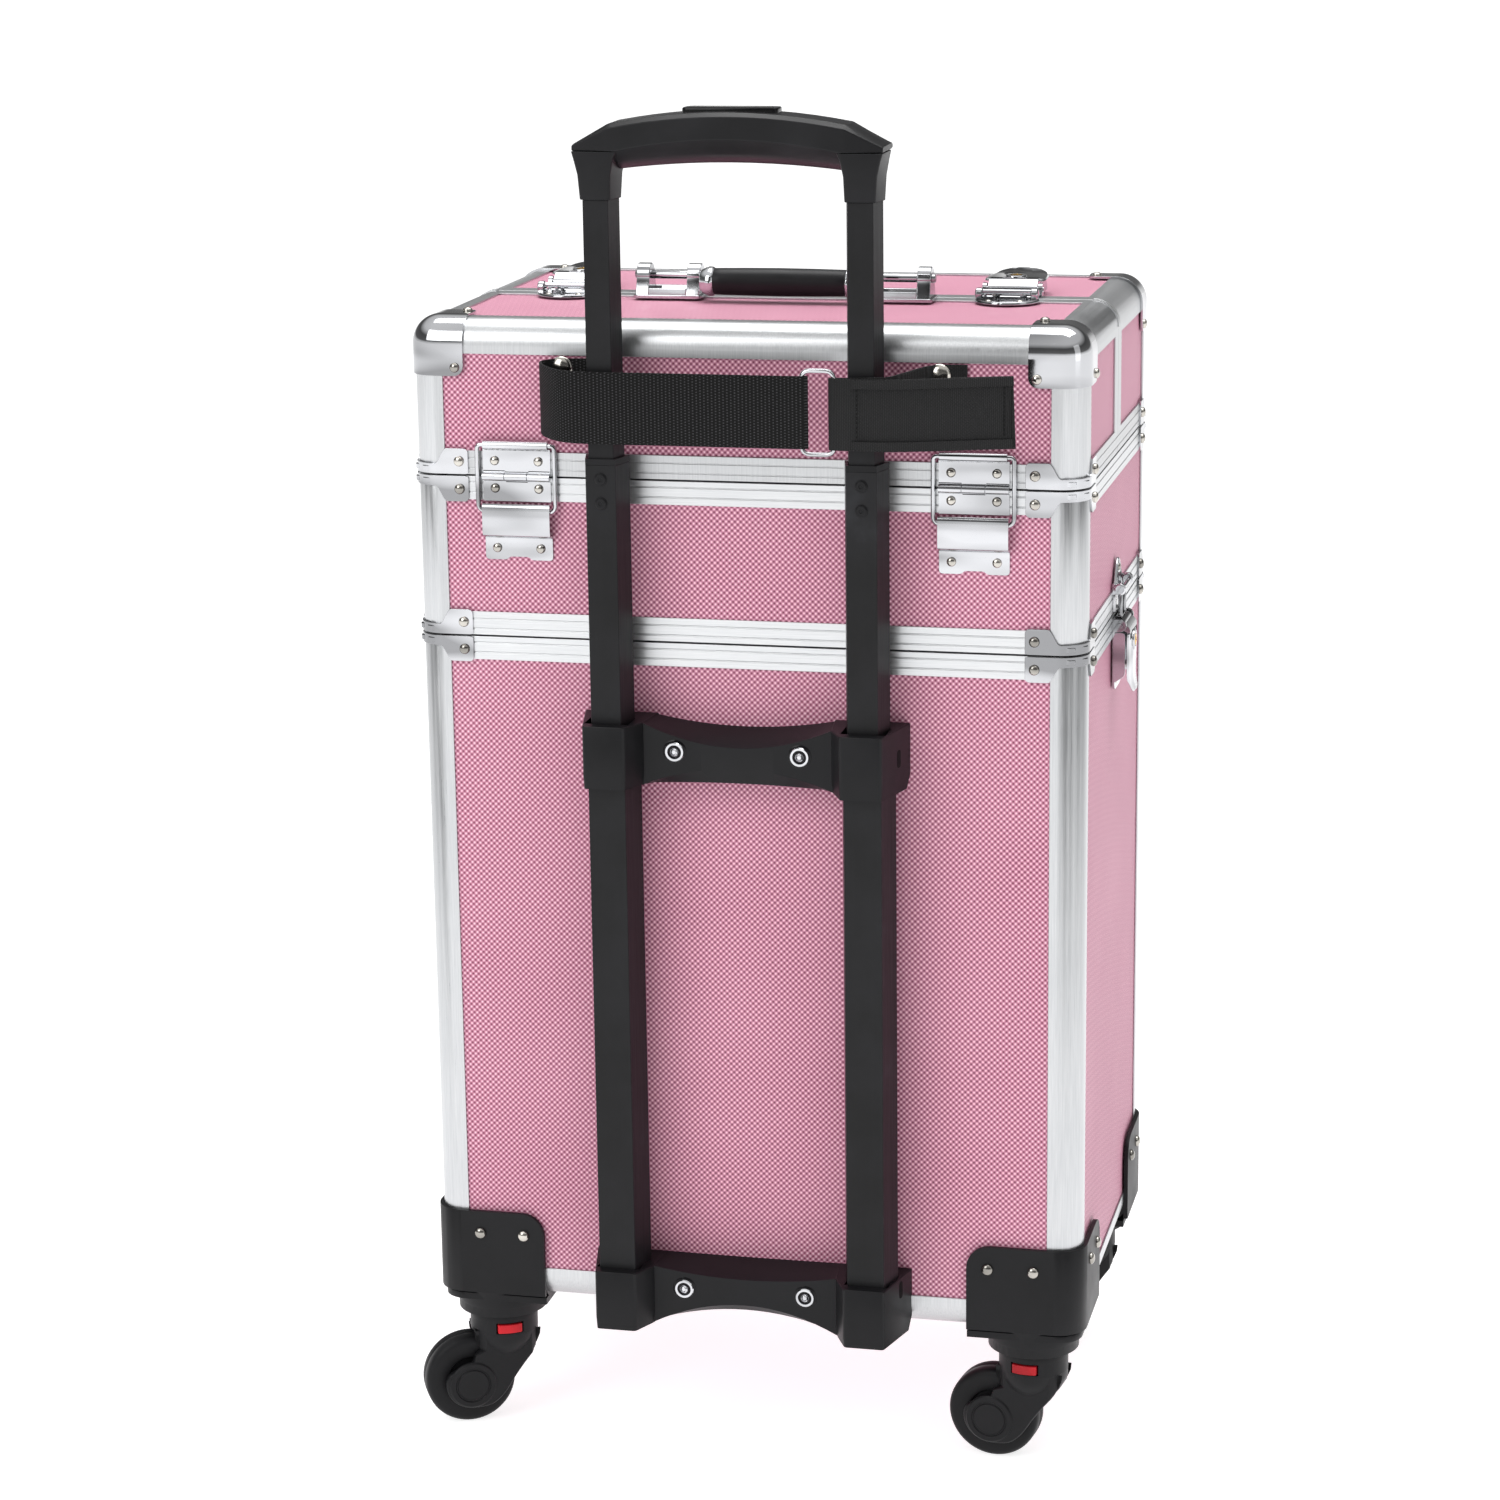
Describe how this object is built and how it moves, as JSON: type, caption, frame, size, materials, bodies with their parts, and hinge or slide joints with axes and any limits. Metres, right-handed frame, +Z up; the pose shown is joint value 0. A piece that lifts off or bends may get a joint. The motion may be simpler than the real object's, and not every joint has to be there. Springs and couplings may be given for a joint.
{
  "type": "makeup train case",
  "caption": "Rolling train case: trunk on swivel casters, lift-off upper case with a hinged lid and trays, and a telescopic trolley handle.",
  "frame": {"origin": "centre of the whole object's footprint, on the floor under the casters", "axes": "+Z up, -Y towards the trolley handle and rear panel, +X to the right when looking at the rear panel along +Y"},
  "size_m": [0.3667, 0.2703, 0.6991],
  "materials": {
    "panel": "pink woven-pattern laminate",
    "edge": "satin extruded",
    "liner": "black velvet lining",
    "tube": "black anodised",
    "moulding": "fine-grained black moulding",
    "wheel": "black tread on a moulded core",
    "brake_tab": "red moulding",
    "button": "polished black",
    "webbing": "black woven webbing",
    "tray": "black flocked tray",
    "grip_cover": "black moulded grip",
    "hardware": "polished chrome plate"
  },
  "bodies": {
    "trunk": {"trunk_panels": "panel", "trunk_frame": "edge", "trunk_rim": "edge", "trunk_corner_plates": "hardware", "trunk_liner": "liner", "caster_brackets": "moulding", "outer_tubes": "tube", "middle_bracket": "moulding", "bottom_bracket": "moulding", "trunk_fasteners": "hardware", "side_latch_bases": "hardware"},
    "side_lever_right": {"side_latch_right": "hardware"},
    "side_lever_left": {"side_latch_left": "hardware"},
    "mid_stage": {"mid_tubes": "tube", "mid_tube_caps": "moulding"},
    "grip_stage": {"inner_tubes": "tube", "grip": "moulding"},
    "button": {"release_button": "button"},
    "upper_case": {"tier_panels": "panel", "tier_frame": "edge", "tier_rims": "edge", "tier_fittings": "hardware", "tier_liner": "liner", "rear_lid_panels": "panel", "rear_lid_frame": "edge", "rear_lid_corners": "hardware", "rear_hinges": "hardware", "rear_bails": "hardware", "front_hinge_bases": "hardware", "strap_left": "webbing", "strap_right": "webbing", "strap_ring": "hardware", "handle_brackets": "hardware", "latch_catches": "hardware", "rear_tray": "tray"},
    "handle": {"carry_handle": "hardware", "carry_grip": "grip_cover"},
    "front_lid": {"front_lid_panels": "panel", "front_lid_frame": "edge", "front_lid_corners": "hardware", "front_hinge_leaves": "hardware", "top_latch_bases": "hardware"},
    "bails": {"front_bails": "hardware"},
    "tray": {"front_tray": "tray"},
    "front_arms": {"tray_arms_front": "hardware"},
    "rear_arms": {"tray_arms_rear": "hardware"},
    "top_lever_left": {"top_latch_left": "hardware"},
    "top_lever_right": {"top_latch_right": "hardware"},
    "fork_rear_left": {"fork_rear_left": "moulding"},
    "wheel_rear_left": {"wheel_rear_left": "wheel"},
    "tab_rear_left": {"tab_rear_left": "brake_tab"},
    "fork_rear_right": {"fork_rear_right": "moulding"},
    "wheel_rear_right": {"wheel_rear_right": "wheel"},
    "tab_rear_right": {"tab_rear_right": "brake_tab"},
    "fork_front_left": {"fork_front_left": "moulding"},
    "wheel_front_left": {"wheel_front_left": "wheel"},
    "tab_front_left": {"tab_front_left": "brake_tab"},
    "fork_front_right": {"fork_front_right": "moulding"},
    "wheel_front_right": {"wheel_front_right": "wheel"},
    "tab_front_right": {"tab_front_right": "brake_tab"}
  },
  "joints": [
    {"name": "mid_slide", "type": "slide", "parent": "trunk", "child": "mid_stage", "axis": [0, 0, 1], "range_m": [-0.108, 0.12]},
    {"name": "grip_slide", "type": "slide", "parent": "mid_stage", "child": "grip_stage", "axis": [0, 0, 1], "range_m": [-0.122, 0.11]},
    {"name": "button_press", "type": "slide", "parent": "grip_stage", "child": "button", "axis": [0, 0, -1], "range_m": [0, 0.002], "stiffness_N_per_m": 300, "springref_m": -0.002},
    {"name": "upper_lift", "type": "slide", "parent": "trunk", "child": "upper_case", "axis": [0, 0, 1], "range_m": [0, 0.15]},
    {"name": "front_lid_hinge", "type": "hinge", "parent": "upper_case", "child": "front_lid", "pos_m": [0, 0.1301, 0.515], "axis": [-1, 0, 0], "range_deg": [0, 80]},
    {"name": "bail_turn", "type": "hinge", "parent": "front_lid", "child": "bails", "pos_m": [0, 0.1301, 0.531], "axis": [-1, 0, 0], "range_deg": [-52, 0.1]},
    {"name": "front_arm_turn", "type": "hinge", "parent": "upper_case", "child": "front_arms", "pos_m": [0, 0.10973, 0.4889], "axis": [-1, 0, 0], "range_deg": [0, 80]},
    {"name": "rear_arm_turn", "type": "hinge", "parent": "upper_case", "child": "rear_arms", "pos_m": [0, 0.09373, 0.4729], "axis": [-1, 0, 0], "range_deg": [0, 80]},
    {"name": "tray_level", "type": "hinge", "parent": "front_arms", "child": "tray", "pos_m": [0, 0.04, 0.495], "axis": [-1, 0, 0], "range_deg": [-80, 0.1]},
    {"name": "carry_handle_swing", "type": "hinge", "parent": "upper_case", "child": "handle", "pos_m": [0, 0, 0.6044], "axis": [-1, 0, 0], "range_deg": [0, 95]},
    {"name": "top_latch_left_open", "type": "hinge", "parent": "front_lid", "child": "top_lever_left", "pos_m": [-0.115, 0.019, 0.5972], "axis": [1, 0, 0], "range_deg": [0, 90]},
    {"name": "top_latch_right_open", "type": "hinge", "parent": "front_lid", "child": "top_lever_right", "pos_m": [0.115, 0.019, 0.5972], "axis": [1, 0, 0], "range_deg": [0, 90]},
    {"name": "side_latch_left_open", "type": "hinge", "parent": "trunk", "child": "side_lever_left", "pos_m": [-0.1742, 0.014, 0.428], "axis": [0, 1, 0], "range_deg": [0, 90]},
    {"name": "side_latch_right_open", "type": "hinge", "parent": "trunk", "child": "side_lever_right", "pos_m": [0.1742, 0.014, 0.428], "axis": [0, -1, 0], "range_deg": [0, 90]},
    {"name": "swivel_rear_left", "type": "hinge", "parent": "trunk", "child": "fork_rear_left", "pos_m": [-0.143, -0.076, 0.063], "axis": [0, 0, 1], "continuous": true},
    {"name": "roll_rear_left", "type": "hinge", "parent": "fork_rear_left", "child": "wheel_rear_left", "pos_m": [-0.16082, -0.08508, 0.024], "axis": [-0.454, 0.891, 0], "continuous": true},
    {"name": "tab_press_rear_left", "type": "slide", "parent": "fork_rear_left", "child": "tab_rear_left", "axis": [-0.454, 0.891, 0], "range_m": [0, 0.002], "stiffness_N_per_m": 100},
    {"name": "swivel_rear_right", "type": "hinge", "parent": "trunk", "child": "fork_rear_right", "pos_m": [0.143, -0.076, 0.063], "axis": [0, 0, 1], "continuous": true},
    {"name": "roll_rear_right", "type": "hinge", "parent": "fork_rear_right", "child": "wheel_rear_right", "pos_m": [0.12317, -0.07339, 0.024], "axis": [0.1305, 0.9914, 0], "continuous": true},
    {"name": "tab_press_rear_right", "type": "slide", "parent": "fork_rear_right", "child": "tab_rear_right", "axis": [0.1305, 0.9914, 0], "range_m": [0, 0.002], "stiffness_N_per_m": 100},
    {"name": "swivel_front_left", "type": "hinge", "parent": "trunk", "child": "fork_front_left", "pos_m": [-0.143, 0.104, 0.063], "axis": [0, 0, 1], "continuous": true},
    {"name": "roll_front_left", "type": "hinge", "parent": "fork_front_left", "child": "wheel_front_left", "pos_m": [-0.12568, 0.094, 0.024], "axis": [-0.5, -0.866, 0], "continuous": true},
    {"name": "tab_press_front_left", "type": "slide", "parent": "fork_front_left", "child": "tab_front_left", "axis": [-0.5, -0.866, 0], "range_m": [0, 0.002], "stiffness_N_per_m": 100},
    {"name": "swivel_front_right", "type": "hinge", "parent": "trunk", "child": "fork_front_right", "pos_m": [0.143, 0.104, 0.063], "axis": [0, 0, 1], "continuous": true},
    {"name": "roll_front_right", "type": "hinge", "parent": "fork_front_right", "child": "wheel_front_right", "pos_m": [0.12421, 0.09716, 0.024], "axis": [-0.342, 0.9397, 0], "continuous": true},
    {"name": "tab_press_front_right", "type": "slide", "parent": "fork_front_right", "child": "tab_front_right", "axis": [-0.342, 0.9397, 0], "range_m": [0, 0.002], "stiffness_N_per_m": 100}
  ],
  "couplings": [
    {"joint": "bail_turn", "follows": "front_lid_hinge", "ratio": -0.6493},
    {"joint": "front_arm_turn", "follows": "front_lid_hinge", "ratio": 1},
    {"joint": "rear_arm_turn", "follows": "front_lid_hinge", "ratio": 1},
    {"joint": "tray_level", "follows": "front_lid_hinge", "ratio": -1}
  ]
}
